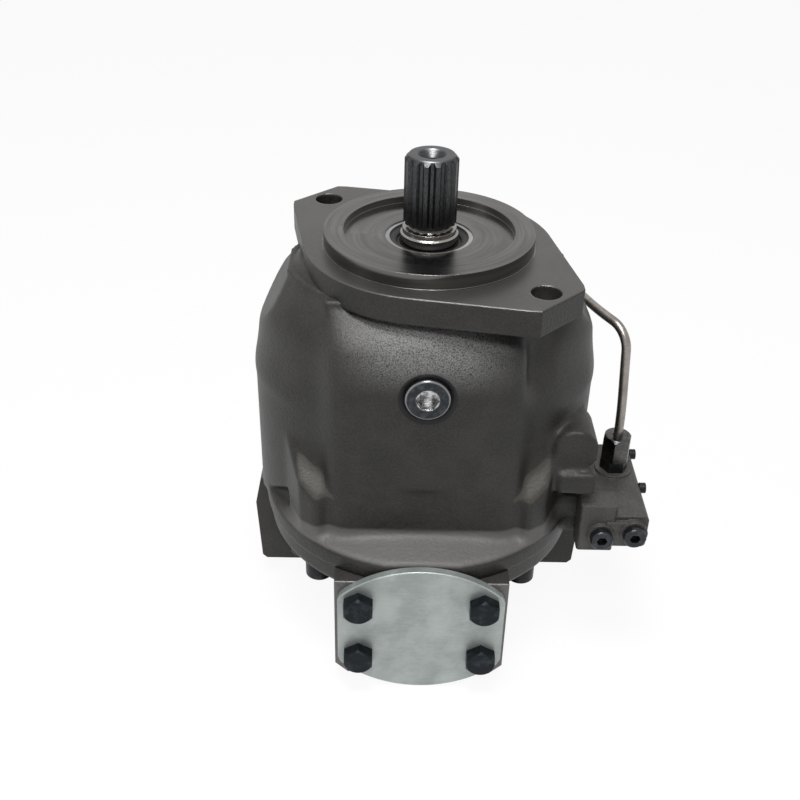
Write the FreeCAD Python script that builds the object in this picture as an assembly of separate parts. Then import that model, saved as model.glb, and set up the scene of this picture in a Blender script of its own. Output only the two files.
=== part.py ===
import FreeCAD, Part
import math
import os

from FreeCAD import Vector as V

os.makedirs("parts", exist_ok=True)

# Axial piston pump with a swash plate. Millimetres.
# The origin is where the shaft axis meets the mounting face. +Z runs out along the shaft end,
# -Y is the suction side, +Y the pressure side and +X the side that carries the control valve.

UP = V(0, 0, 1)
ORIGIN = V(0, 0, 0)
RUNNING = 0.05
FLAT_GAP = 0.3

# Mounting flange and its spigot
FLANGE_RADIUS = 75.5
FLANGE_THICKNESS = 16.5
EAR_END = 103.0
EAR_HALF_WIDTH = 23.0
EAR_ANGLE = -45.0
EAR_CORNER = 4.0
MOUNT_BOLT_SPACING = 181.0
MOUNT_HOLE = 17.5
SPIGOT_DIAMETER = 127.0
SPIGOT_HEIGHT = 9.0
SPIGOT_RECESS_DIAMETER = 103.0
SPIGOT_RECESS_DEPTH = 4.4
SEAL_BORE = 53.0

# Housing: an oval shell with flat front and back faces
NECK = (78.0, 58.0, -8.0)
SHOULDER_LOW = (87.0, 64.0, -16.5)
SHOULDER_MID = (101.0, 79.0, -33.0)
SHOULDER_TOP = (104.5, 80.5, -52.0)
BODY = (108.0, 81.0, -75.0)
SIDE_SLOPE_X = 79.0
SIDE_SLOPE_Z = -7.0
SIDE_SLOPE = 0.578
WAIST = (101.0, 78.0)
WAIST_EDGE = ((-53.0, -147.8), (-10.0, -179.6))
SHOULDER_BLEND = 12.0
PARTING_Z = -181.0
FRONT_HALF_WIDTH = 46.0
FRONT_Y = 79.5
FRONT_BLUNT = (14.0, 9.0)
SIDE_WALL = 9.0
FRONT_WALL = 10.5
CAVITY_TOP_Z = -38.0
CAVITY_FOOT = (93.6, 64.0)
CAVITY_FOOT_Z = -145.0
RIM_RADIUS = 105.0
RIM_TOP_Z = -168.0
RIM_CONE = (70.0, 9.2)
PORT_FLAT = 0.4
COLUMN_X = 66.0
COLUMN_FRONT_Y = 79.0
COLUMN_OUTER = (77.0, 71.0)
COLUMN_INNER = (55.5, 72.5)
COLUMN_EDGE_TOP_Z = -137.5
COLUMN_TOP_Z = -110.0
COLUMN_SLOPE = (0.079, -0.715, 0.694)
SIDE_LUG = [(-50, -150), (-107.2, -165), (-114.4, -200), (-112, -248), (-109, -251), (-50, -251)]
SIDE_LUG_Y = (-2.0, 30.0)
PIN_RADIUS = 3.0
PIN_DEPTH = 8.0
PIN_PLACE = (86.0, -42.0)
PLATE_PIN_X = 48.0

# Seal between housing and cover: half lengths of the oval and the width of the cord
COVER_SEAL = (96.0, 68.5, 2.2)
COVER_SEAL_DEPTH = 2.0

# Case drain ports
DRAIN_Z = -61.0
DRAIN_SPOTFACE = 34.0
DRAIN_PAD_HEIGHT = 2.0
DRAIN_THREAD = 22.0
DRAIN_HEAD = 26.5
DRAIN_HEX = 12.0

# Rear cover with the two ports
COVER_FLANGE_THICKNESS = 17.0
COVER_INSET = 2.5
BLOCK_HALF_WIDTH = 54.0
BLOCK_FRONT_Y = 103.0
BLOCK_BOTTOM_Z = -259.0
BLOCK_CHAMFER = 8.0
PORT_Z = -217.0
SUCTION_BORE = 50.8
PRESSURE_BORE = 25.4
COVER_SPIGOT_RADIUS = 60.0

# Port covers. side is -1 at the front and 1 at the back.
SUCTION = {"side": -1, "half_x": 52.0, "half_z": 49.0, "corner": (50.0, 28.7), "flat": 24.0,
           "bolts": (77.8 / 2, 42.9 / 2), "thread": 12.0, "flats": 18.0, "head": 7.5, "seal": 31.0}
PRESSURE = {"side": 1, "half_x": 37.0, "half_z": 33.0, "corner": (35.0, 21.0), "flat": 17.0,
            "bolts": (52.4 / 2, 26.2 / 2), "thread": 10.0, "flats": 16.0, "head": 6.4, "seal": 18.5}
PORT_COVER_THICKNESS = 5.0
PORT_BOLT_DEPTH = 22.0
PORT_SEAL_WIDTH = 3.2
PORT_SEAL_DEPTH = 2.5

# Fasteners of the cover
COVER_SCREW = (66.0, 62.0)
COVER_SCREW_DIAMETER = 12.0
COVER_SCREW_LENGTH = 45.0

# Shaft
SPLINE_TEETH = 14
SPLINE_DIAMETER = 31.75
SPLINE_ROOT = 27.8
SHAFT_END_Z = 55.4
SPLINE_START_Z = 14.0
NECK_RADIUS = 13.6
COLLAR_RADIUS = 16.2
COLLAR_Z = (7.0, 10.5)
SEAL_JOURNAL_RADIUS = 17.5
SHOULDER_RADIUS = 20.5
SHOULDER_WIDTH = 4.0
SHAFT_RADIUS = 19.0
REAR_JOURNAL_RADIUS = 15.0
SEAL_RING_Z = (2.6, 4.0)

# Tapered roller bearings: bore radius, outside radius, width, rollers
FRONT_BEARING = (17.5, 31.0, 18.0, 15)
REAR_BEARING = (15.0, 27.5, 17.0, 14)
FRONT_BEARING_TOP_Z = -8.0
REAR_BEARING_TOP_Z = -178.5
ROLLER_PLAY = 0.25

# Rotating group. Heights in this group are counted from the pivot of the swash plate.
PIVOT_Z = -92.0
MAX_TILT = 16.0
PISTONS = 9
BORE_CIRCLE = 37.5
PISTON_DIAMETER = 21.5
PISTON_LENGTH = 50.0
PISTON_TOP = -8.0
BALL_RADIUS = 7.5
BALL_NECK_RADIUS = 4.5
BLOCK_RADIUS = 54.0
BLOCK_TOP = -17.0
BLOCK_BASE = -79.0
BORE_FLOOR = -72.0
SLIPPER_RADIUS = 12.5
SLIPPER_FLANGE = 3.65
SLIPPER_SKIRT_RADIUS = 9.7
SLIPPER_SKIRT_END = -3.0
RUNNING_FACE = 11.0
RETAINER_BOTTOM = 3.0
RETAINER_TOP = 7.0
RETAINER_RADIUS = 52.0
GUIDE_BALL_RADIUS = 25.0
GUIDE_BALL_TOP = 9.0
GUIDE_BALL_BOTTOM = -13.0
VALVE_PLATE_THICKNESS = 4.0
VALVE_PLATE_RADIUS = 52.0
KIDNEY_WIDTH = 11.0
KIDNEY_HALF_ANGLE = 52.0
SPRING_ROOM_RADIUS = 23.6
SPRING_ROOM_FLOOR = -50.0
SPRING_WASHER = 2.0

# Swash plate and its cradle
CRADLE_RADIUS = 57.0
CRADLE_SHELL = 3.0
CRADLE_Y = (35.0, 57.0)
CRADLE_HALF_X = 37.0
SHELL_HALF_X = 40.0
SWASH_RADIUS = 56.0
SWASH_BACK = 25.0
SWASH_HOLE = (24.5, 29.0)
ARM_REACH = 76.0
ARM_CONTACT_RADIUS = 8.0

# Stroking piston and bias piston
CONTROL_RADIUS = 13.0
CONTROL_LENGTH = 85.0
BIAS_LENGTH = 95.0
BIAS_WALL = 3.5
BIAS_CROWN = 6.0
TOWER_RADIUS = 17.0
TOWER_TOP_Z = -150.0
CONTROL_BORE_END_Z = -213.0
BIAS_BORE_END_Z = -232.0

# Control valve and the steel tube
VALVE_TOP_Z = -155.0
VALVE_BOTTOM_Z = -179.0
VALVE_X = (108.4, 143.5)
VALVE_Y = (-67.0, 12.0)
VALVE_FOOT_X = 99.5
VALVE_FOOT_BACK_Y = -52.0
VALVE_FOOT_TOP_Z = -146.0
VALVE_FOOT_BOTTOM_Z = -181.0
PRESSURE_SPOOL = (134.0, -165.5)
FLOW_SPOOL = (113.5, -168.0)
SPOOL_RADIUS = 4.5
SPOOL_LENGTH = 34.0
SPOOL_TRAVEL = 2.5
SPOOL_START_Y = -40.0
ADJUSTER_RADIUS = 6.6
ADJUSTER_BACK_Y = -61.0
ADJUSTER_FRONT_Y = -76.5
FITTING_X = 128.5
FITTING_Y = -15.0
TUBE_RADIUS = 3.0
TUBE_BORE = 2.0
NUT_FLATS = 17.0
NUT_HEIGHT = 18.0
TUBE_BOSS = (46.0, 91.5, -54.0)
TUBE_BOSS_HALF = 11.0
NEAR_THREAD = 5.0
FAR_THREAD = 9.0
VALVE_SCREW_RADIUS = 2.0
VALVE_SCREW_DEPTH = 8.0

TILT = math.radians(MAX_TILT)
BALL_CIRCLE = 2 * BORE_CIRCLE / (1 + math.cos(TILT))
PIVOT = V(0, 0, PIVOT_Z)
ARM_DROP = ARM_REACH * math.sin(TILT)
COVER_FACE_Z = PIVOT_Z + BLOCK_BASE - VALVE_PLATE_THICKNESS - RUNNING
COVER_BASE_Z = PARTING_Z - COVER_FLANGE_THICKNESS


# Basic solids

def disc(radius, bottom, top, x=0.0, y=0.0):
    return Part.makeCylinder(radius, top - bottom, V(x, y, bottom))


def ring(outer, inner, bottom, top, x=0.0, y=0.0):
    return disc(outer, bottom, top, x, y).cut(disc(inner, bottom - 1, top + 1, x, y))


def rod_y(radius, start, end, x, z):
    return Part.makeCylinder(radius, end - start, V(x, start, z), V(0, 1, 0))


def box(x0, x1, y0, y1, z0, z1):
    return Part.makeBox(x1 - x0, y1 - y0, z1 - z0, V(x0, y0, z0))


def polygon(points):
    return Part.Face(Part.makePolygon(points + [points[0]]))


def plate_z(outline, bottom, top):
    points = [V(x, y, bottom) for x, y in outline]
    return polygon(points).extrude(V(0, 0, top - bottom))


def plate_x(outline, start, end):
    points = [V(start, y, z) for y, z in outline]
    return polygon(points).extrude(V(end - start, 0, 0))


def plate_y(outline, start, end):
    points = [V(x, start, z) for x, z in outline]
    return polygon(points).extrude(V(0, end - start, 0))


def turned(profile):
    """A solid of revolution about the shaft axis from (radius, height) points."""
    points = [V(radius, 0, height) for radius, height in profile]
    return polygon(points).revolve(ORIGIN, UP, 360)


def hexagon(flats, base, height, direction=UP, spin=0.0):
    corner = flats / math.sqrt(3)
    points = []
    for step in range(6):
        angle = math.radians(60 * step + spin)
        points.append(V(corner * math.cos(angle), corner * math.sin(angle), 0))
    solid = polygon(points).extrude(V(0, 0, height))
    solid.Placement = FreeCAD.Placement(base, FreeCAD.Rotation(UP, direction))
    return solid


def oval(half_x, half_y, height):
    return Part.Wire(Part.Ellipse(V(0, 0, height), half_x, half_y).toShape())


def oval_prism(half_x, half_y, bottom, top):
    return Part.Face(oval(half_x, half_y, bottom)).extrude(V(0, 0, top - bottom))


def below_plane(point, normal, size=160.0):
    block = Part.makeBox(size, size, size, V(-size / 2, -size / 2, -size))
    block.Placement = FreeCAD.Placement(point, FreeCAD.Rotation(UP, normal))
    return block


def mirror_x(shape):
    return shape.mirror(ORIGIN, V(1, 0, 0))


def mirror_y(shape):
    return shape.mirror(ORIGIN, V(0, 1, 0))


def four_ways(shape):
    pair = [shape, mirror_x(shape)]
    return pair + [mirror_y(one) for one in pair]


def fuse_all(shapes):
    return shapes[0].multiFuse(shapes[1:]).removeSplitter()


def cut_all(shape, tools):
    for tool in tools:
        shape = shape.cut(tool)
    return shape


def group(solids):
    return Part.makeCompound(solids)


def turned_about_z(shape, degrees):
    copy = shape.copy()
    copy.rotate(ORIGIN, UP, degrees)
    return copy


def tilted(shape):
    """Carries a shape from the untilted swash plate frame to its place at full tilt."""
    copy = shape.copy()
    copy.translate(PIVOT)
    copy.rotate(PIVOT, V(0, 1, 0), MAX_TILT)
    return copy


def ball_centre(index):
    """Centre of a piston's ball at full tilt."""
    angle = 2 * math.pi * index / PISTONS
    flat_x = BALL_CIRCLE * math.cos(angle)
    flat_y = BALL_CIRCLE * math.sin(angle)
    return V(flat_x * math.cos(TILT), flat_y, PIVOT_Z - flat_x * math.sin(TILT))


def save(name, shape):
    shape.exportStep("parts/" + name + ".step")


# Springs

def biarc(first, first_aim, last, last_aim):
    """Two arcs that join two points of a helix with its own tangents."""
    chord = last - first
    both = first_aim + last_aim
    spread = 2 * (1 - first_aim.dot(last_aim))
    along = chord.dot(both)
    reach = (math.sqrt(along * along + spread * chord.dot(chord)) - along) / spread
    joint = (first + last + (first_aim - last_aim) * reach) * 0.5
    edges = []
    for start, aim, end in ((first, first_aim, joint), (joint, None, last)):
        corner = start + aim * reach if aim else last - last_aim * reach
        middle = (start + end) * 0.5
        half_chord = (end - start).Length / 2
        offset = corner - middle
        angle = math.atan2(offset.Length, half_chord)
        crown = middle + offset * (math.tan(angle / 2) / math.tan(angle))
        edges.append(Part.Arc(start, crown, end).toShape())
    return edges


def coil(mean_radius, wire_radius, start, axis, length, turns):
    """A compression spring between two planes, one unbroken wire."""
    rise = (length - 2 * wire_radius) / turns
    quarter = math.pi / 2
    steps = int(4 * turns)
    slope = rise / (2 * math.pi)
    norm = math.hypot(mean_radius, slope)

    def point(step):
        angle = step * quarter
        height = wire_radius + rise * step / 4
        return V(mean_radius * math.cos(angle), mean_radius * math.sin(angle), height)

    def aim(step):
        angle = step * quarter
        return V(-mean_radius * math.sin(angle) / norm, mean_radius * math.cos(angle) / norm, slope / norm)

    edges = []
    for step in range(steps):
        edges += biarc(point(step), aim(step), point(step + 1), aim(step + 1))
    path = Part.Wire(edges)
    section = Part.Wire(Part.Circle(point(0), aim(0), wire_radius).toShape())
    solid = path.makePipeShell([section], True, False)
    solid.Placement = FreeCAD.Placement(start, FreeCAD.Rotation(UP, axis))
    print("spring gap between turns", round(rise - 2 * wire_radius, 2))
    return solid


# Housing

def flange_outline():
    """Half of the mounting flange: the quadrilateral that is tangent to the round part."""
    reach = math.hypot(EAR_END, EAR_HALF_WIDTH)
    lean = math.atan2(EAR_HALF_WIDTH, EAR_END)
    tangent = lean + math.acos(FLANGE_RADIUS / reach)
    touch = (FLANGE_RADIUS * math.cos(tangent), FLANGE_RADIUS * math.sin(tangent))
    tip = (EAR_END, EAR_HALF_WIDTH - EAR_CORNER)
    corner = (EAR_END - EAR_CORNER, EAR_HALF_WIDTH)
    return [(0, touch[1] * 0.5), touch, corner, tip]


def mounting_flange():
    upper = flange_outline()
    outline = upper + [(x, -y) for x, y in reversed(upper)]
    ears = plate_z(outline, -FLANGE_THICKNESS, 0)
    other = turned_about_z(ears, 180)
    solid = fuse_all([disc(FLANGE_RADIUS, -FLANGE_THICKNESS, 0), ears, other])
    return turned_about_z(solid, EAR_ANGLE)


def mount_hole_centres():
    turn = math.radians(EAR_ANGLE)
    half = MOUNT_BOLT_SPACING / 2
    return [(side * half * math.cos(turn), side * half * math.sin(turn)) for side in (1, -1)]


def shell_outside():
    """Upright oval wall under a shoulder that curves smoothly in to the neck."""
    half_x, half_y, base = BODY
    levels = [NECK, SHOULDER_LOW, SHOULDER_MID, SHOULDER_TOP, BODY, (half_x, half_y, base - SHOULDER_BLEND)]
    shoulder = Part.makeLoft([oval(*level) for level in levels], True, False)
    return shoulder.fuse(oval_prism(half_x, half_y, PARTING_Z, base - SHOULDER_BLEND))


def waist_cuts():
    """Room under a sloping step, where the wall draws in above the rim beside the columns."""
    (front_y, front_z), (back_y, back_z) = WAIST_EDGE
    slope = (back_z - front_z) / (back_y - front_y)
    far_y = -BLOCK_FRONT_Y
    outline = [(far_y, front_z + slope * (far_y - front_y)), (back_y, back_z), (back_y, PARTING_Z - 2),
               (far_y, PARTING_Z - 2)]
    wedge = plate_x(outline, -130, 130).cut(oval_prism(*WAIST, PARTING_Z - 3, -100))
    return [wedge, mirror_y(wedge)]


def side_slopes():
    """Room outside the slanted flats that take off the shoulder on the left and right."""
    high = 10.0
    low = BODY[2] - 20
    outline = [(SIDE_SLOPE_X + SIDE_SLOPE * (SIDE_SLOPE_Z - high), high),
               (SIDE_SLOPE_X + SIDE_SLOPE * (SIDE_SLOPE_Z - low), low), (180.0, low), (180.0, high)]
    right = plate_y(outline, -120, 120)
    return [right, mirror_x(right)]


def shell_cavity():
    half_x = BODY[0] - SIDE_WALL
    half_y = BODY[1] - FRONT_WALL
    shoulder_x = SHOULDER_TOP[0] - SIDE_WALL
    top_x = SHOULDER_MID[0] - SIDE_WALL - 4
    levels = [(half_x, half_y, CAVITY_FOOT_Z), (half_x, half_y, BODY[2]),
              (shoulder_x, half_y - 1, SHOULDER_TOP[2]), (top_x, half_y - 5, CAVITY_TOP_Z)]
    hollow = Part.makeLoft([oval(*level) for level in levels], True, True)
    hollow = hollow.fuse(oval_prism(*CAVITY_FOOT, PARTING_Z - 1, CAVITY_FOOT_Z + 1))
    saddle_x = SHELL_HALF_X + 2
    seat_radius = CRADLE_RADIUS + CRADLE_SHELL
    saddle_low = PIVOT_Z + math.sqrt(seat_radius ** 2 - SHELL_HALF_X ** 2) - 1.5
    for side in (-1, 1):
        near, far = sorted((side * (CRADLE_Y[0] - 1.5), side * (CRADLE_Y[1] + 1.5)))
        hollow = hollow.cut(box(-saddle_x, saddle_x, near, far, saddle_low, CAVITY_TOP_Z + 1))
    room = rod_y(seat_radius, -CRADLE_Y[1] - FLAT_GAP, CRADLE_Y[1] + FLAT_GAP, 0, PIVOT_Z)
    return hollow.fuse(room)


def front_wall():
    """Flat wall with blunt upright edges and the sloped shoulder over it."""
    side = [(0, NECK[2] - 2), (-NECK[1] + 2, SHOULDER_LOW[2]), (-FRONT_Y, SHOULDER_MID[2]),
            (-FRONT_Y, PARTING_Z), (0, PARTING_Z)]
    half = FRONT_HALF_WIDTH
    wall = plate_x(side, -half - FRONT_BLUNT[0], half + FRONT_BLUNT[0])
    plan = [(half + FRONT_BLUNT[0], -FRONT_Y + FRONT_BLUNT[1])]
    for turn in (60, 30, 0):
        lean = math.radians(turn)
        across = half + FRONT_BLUNT[0] * math.sin(lean)
        plan.append((across, -FRONT_Y + FRONT_BLUNT[1] * (1 - math.cos(lean))))
    plan += [(-x, y) for x, y in reversed(plan)]
    plan += [(-half - FRONT_BLUNT[0], 0), (half + FRONT_BLUNT[0], 0)]
    return wall.common(plate_z(plan, PARTING_Z, 0))


def drain_pad():
    """Raised shield-shaped pad round the drain port."""
    outline = [(-24, -38), (24, -38), (34, DRAIN_Z), (34, -88), (24, -106), (0, -121),
               (-24, -106), (-34, -88), (-34, DRAIN_Z)]
    return plate_y(outline, -FRONT_Y - DRAIN_PAD_HEIGHT, -FRONT_Y + 2)


def bolt_column():
    """Column that holds a cover screw, with a sloped top, on the front left."""
    outline = [(-COLUMN_X, -COLUMN_FRONT_Y), (-COLUMN_OUTER[0], -COLUMN_OUTER[1]), (-86, -50), (-60, -44),
               (-48, -62), (-COLUMN_INNER[0], -COLUMN_INNER[1])]
    prism = plate_z(outline, PARTING_Z, COLUMN_TOP_Z)
    return prism.common(below_plane(V(-COLUMN_X, -COLUMN_FRONT_Y, COLUMN_EDGE_TOP_Z), V(*COLUMN_SLOPE)))


def rim():
    """Round bottom flange of the housing with a shallow cone on top."""
    inner, rise = RIM_CONE
    return turned([(0, PARTING_Z), (RIM_RADIUS, PARTING_Z), (RIM_RADIUS, RIM_TOP_Z),
                   (inner, RIM_TOP_Z + rise), (0, RIM_TOP_Z + rise)])


def side_lug():
    return plate_y(SIDE_LUG, *SIDE_LUG_Y)


def tube_boss():
    """Boss on the back wall whose side face takes the far fitting of the tube."""
    x, y, z = TUBE_BOSS
    half = TUBE_BOSS_HALF
    boss = box(x - 2 * half, x, FRONT_Y - 5, y + half, z - half, z + half)
    back_edges = [edge for edge in boss.Edges if edge.BoundBox.XLength > half and edge.CenterOfMass.y > y]
    return boss.makeFillet(4.0, back_edges)


def valve_pads():
    """Bosses on the right side that stand around the control valve."""
    lug = rod_y(15, -62, -30, 92, -110).common(box(80, 107, -62, -30, -128, -90))
    step = box(84, 106, -68, -40, -138, -123)
    seat = box(84, VALVE_X[0], VALVE_FOOT_BACK_Y + 2, VALVE_Y[1], PARTING_Z, VALVE_TOP_Z + 3)
    return [lug, step, seat]


def make_housing():
    shell = cut_all(shell_outside(), side_slopes() + waist_cuts())
    solids = [shell, mounting_flange(), disc(SPIGOT_DIAMETER / 2, -2, SPIGOT_HEIGHT),
              front_wall(), mirror_y(front_wall()), drain_pad(), mirror_y(drain_pad()),
              rim(), tube_boss()]
    solids += four_ways(bolt_column())
    solids += valve_pads()
    lug = side_lug().common(box(-130, 0, -60, 60, PARTING_Z, -140))
    solids += [lug, mirror_x(lug)]
    body = fuse_all(solids)
    bottom_trim = box(-200, 200, -200, 200, -400, PARTING_Z)
    valve_room = box(VALVE_FOOT_X - FLAT_GAP, 130, -90, VALVE_FOOT_BACK_Y + FLAT_GAP,
                     PARTING_Z - 1, VALVE_FOOT_TOP_Z + FLAT_GAP)
    valve_face = box(VALVE_X[0], 160, -70, 30, PARTING_Z - 1, VALVE_TOP_Z + 10)
    port_flat = box(-70, 70, -120, PORT_FLAT - BLOCK_FRONT_Y, PARTING_Z - 1, RIM_TOP_Z + 4)
    tools = [shell_cavity(), bottom_trim, valve_room, valve_face, port_flat, mirror_y(port_flat)]
    tools.append(disc(SPIGOT_RECESS_DIAMETER / 2, SPIGOT_HEIGHT - SPIGOT_RECESS_DEPTH, SPIGOT_HEIGHT + 1))
    tools.append(disc(SEAL_BORE / 2, FRONT_BEARING_TOP_Z - 1, SPIGOT_HEIGHT + 1))
    tools.append(disc(SEAL_BORE / 2 + 1.2, SEAL_RING_Z[0] - 0.1, SEAL_RING_Z[1] + 0.1))
    tools.append(disc(FRONT_BEARING[1], CAVITY_TOP_Z - 2, FRONT_BEARING_TOP_Z))
    for x, y in mount_hole_centres():
        tools.append(disc(MOUNT_HOLE / 2, -60, 5, x, y))
    for solid in four_ways(disc(COVER_SCREW_DIAMETER / 2 + 0.05, PARTING_Z - 1,
                                PARTING_Z + COVER_SCREW_LENGTH - COVER_FLANGE_THICKNESS + 2, *COVER_SCREW)):
        tools.append(solid)
    drain = [rod_y(DRAIN_THREAD / 2, -FRONT_Y - 5, -60, 0, DRAIN_Z),
             rod_y(DRAIN_SPOTFACE / 2, -FRONT_Y - 5, -FRONT_Y - DRAIN_PAD_HEIGHT + 1.2, 0, DRAIN_Z),
             rod_y(DRAIN_SPOTFACE / 2 - 2.5, -FRONT_Y - 5, -FRONT_Y - DRAIN_PAD_HEIGHT + 3, 0, DRAIN_Z)]
    tools += drain + [mirror_y(tool) for tool in drain]
    tools.append(seal_groove())
    for x, y in pin_places():
        tools.append(disc(PIN_RADIUS, PARTING_Z - 1, PARTING_Z + PIN_DEPTH, x, y))
    far, far_aim = far_fitting()
    tools.append(Part.makeCylinder(5.0, 12, far - far_aim * 11, far_aim))
    depth = VALVE_SCREW_DEPTH + 1
    for y, z in valve_screw_places():
        start = V(VALVE_X[0] - depth, y, z)
        tools.append(Part.makeCylinder(VALVE_SCREW_RADIUS + 0.05, depth + 1, start, V(1, 0, 0)))
    body = cut_all(body, tools)
    return body


def seal_ring_prism(outer_extra, bottom, top):
    outside = oval_prism(COVER_SEAL[0] + COVER_SEAL[2] / 2 + outer_extra,
                         COVER_SEAL[1] + COVER_SEAL[2] / 2 + outer_extra, bottom, top)
    inside = oval_prism(COVER_SEAL[0] - COVER_SEAL[2] / 2 - outer_extra,
                        COVER_SEAL[1] - COVER_SEAL[2] / 2 - outer_extra, bottom - 1, top + 1)
    return outside.cut(inside)


def seal_groove():
    return seal_ring_prism(0.1, PARTING_Z - 1, PARTING_Z + COVER_SEAL_DEPTH)


def pin_places():
    x, y = PIN_PLACE
    return [(x, y), (-x, -y)]


def valve_screw_places():
    edge = 3.6
    return [(y, z) for y in (-32.0, 6.0) for z in (VALVE_TOP_Z - edge, VALVE_BOTTOM_Z + edge)]


# Rear cover

def kidney(side, bottom, top):
    """Arc-shaped slot with round ends. side is -1 for suction and 1 for pressure."""
    inner = BORE_CIRCLE - KIDNEY_WIDTH / 2
    outer = BORE_CIRCLE + KIDNEY_WIDTH / 2
    half = math.radians(KIDNEY_HALF_ANGLE)

    def at(radius, angle):
        return V(radius * math.sin(angle), side * radius * math.cos(angle), bottom)

    ends = []
    for turn in (half, -half):
        ends.append(disc(KIDNEY_WIDTH / 2, bottom, top, at(BORE_CIRCLE, turn).x, at(BORE_CIRCLE, turn).y))
    arcs = [Part.Arc(at(outer, -half), at(outer, 0), at(outer, half)).toShape(),
            Part.LineSegment(at(outer, half), at(inner, half)).toShape(),
            Part.Arc(at(inner, half), at(inner, 0), at(inner, -half)).toShape(),
            Part.LineSegment(at(inner, -half), at(outer, -half)).toShape()]
    slot = Part.Face(Part.Wire(arcs)).extrude(V(0, 0, top - bottom))
    return slot.multiFuse(ends)


def make_cover():
    flange = disc(RIM_RADIUS - COVER_INSET, COVER_BASE_Z, PARTING_Z)
    bottom_edges = [edge for edge in flange.Edges if abs(edge.BoundBox.ZMax - COVER_BASE_Z) < 0.01]
    flange = flange.makeFillet(6.0, bottom_edges)
    profile = [(-BLOCK_HALF_WIDTH, PARTING_Z), (-BLOCK_HALF_WIDTH, BLOCK_BOTTOM_Z + BLOCK_CHAMFER),
               (-BLOCK_HALF_WIDTH + BLOCK_CHAMFER, BLOCK_BOTTOM_Z),
               (BLOCK_HALF_WIDTH - BLOCK_CHAMFER, BLOCK_BOTTOM_Z),
               (BLOCK_HALF_WIDTH, BLOCK_BOTTOM_Z + BLOCK_CHAMFER), (BLOCK_HALF_WIDTH, PARTING_Z)]
    block = plate_y(profile, -BLOCK_FRONT_Y, BLOCK_FRONT_Y)
    lug = side_lug().common(box(-130, 0, -60, 60, -300, PARTING_Z))
    solids = [flange, block, lug, mirror_x(lug), disc(COVER_SPIGOT_RADIUS, PARTING_Z - 1, COVER_FACE_Z)]
    solids.append(disc(TOWER_RADIUS, CONTROL_BORE_END_Z - 10, TOWER_TOP_Z, ARM_REACH))
    solids.append(disc(TOWER_RADIUS, BIAS_BORE_END_Z - 7, TOWER_TOP_Z, -ARM_REACH))
    body = fuse_all(solids)
    tools = [disc(REAR_BEARING[1], REAR_BEARING_TOP_Z - REAR_BEARING[2], COVER_FACE_Z + 1),
             disc(20.0, REAR_BEARING_TOP_Z - REAR_BEARING[2] - 3, REAR_BEARING_TOP_Z),
             disc(CONTROL_RADIUS + RUNNING, CONTROL_BORE_END_Z, 0, ARM_REACH),
             disc(CONTROL_RADIUS + RUNNING, BIAS_BORE_END_Z, 0, -ARM_REACH),
             kidney(-1, PORT_Z, COVER_FACE_Z + 1), kidney(1, PORT_Z, COVER_FACE_Z + 1),
             rod_y(SUCTION_BORE / 2, -BLOCK_FRONT_Y - 1, -30, 0, PORT_Z),
             rod_y(PRESSURE_BORE / 2, 28, BLOCK_FRONT_Y + 1, 0, PORT_Z)]
    for spec in (SUCTION, PRESSURE):
        tools += port_face_cuts(spec)
    for x, y in pin_places():
        tools.append(disc(PIN_RADIUS, PARTING_Z - PIN_DEPTH, PARTING_Z + 1, x, y))
    tools.append(disc(PIN_RADIUS, COVER_FACE_Z - 6, COVER_FACE_Z + 1, PLATE_PIN_X, 0))
    head_room = COVER_BASE_Z
    for x, y in [(sx * COVER_SCREW[0], sy * COVER_SCREW[1]) for sx in (1, -1) for sy in (1, -1)]:
        tools.append(disc(COVER_SCREW_DIAMETER / 2 + 0.5, head_room - 1, PARTING_Z + 1, x, y))
    foot = box(VALVE_FOOT_X - FLAT_GAP, 130, -90, VALVE_FOOT_BACK_Y + FLAT_GAP, VALVE_FOOT_BOTTOM_Z - 0.4, 0)
    tools.append(foot)
    return cut_all(body, tools)


def port_bolt_places(spec):
    half_x, half_z = spec["bolts"]
    return [(sx * half_x, PORT_Z + sz * half_z) for sx in (1, -1) for sz in (1, -1)]


def port_solid(spec, solid):
    return mirror_y(solid) if spec["side"] > 0 else solid


def port_face_cuts(spec):
    tools = []
    for x, z in port_bolt_places(spec):
        hole = rod_y(spec["thread"] / 2 + 0.05, -BLOCK_FRONT_Y - 1, -BLOCK_FRONT_Y + PORT_BOLT_DEPTH, x, z)
        tools.append(port_solid(spec, hole))
    outer = rod_y(spec["seal"] + 0.1, -BLOCK_FRONT_Y - 1, -BLOCK_FRONT_Y + PORT_SEAL_DEPTH, 0, PORT_Z)
    inner = rod_y(spec["seal"] - PORT_SEAL_WIDTH - 0.1, -BLOCK_FRONT_Y - 2, -BLOCK_FRONT_Y + 9, 0, PORT_Z)
    tools.append(port_solid(spec, outer.cut(inner)))
    return tools


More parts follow.
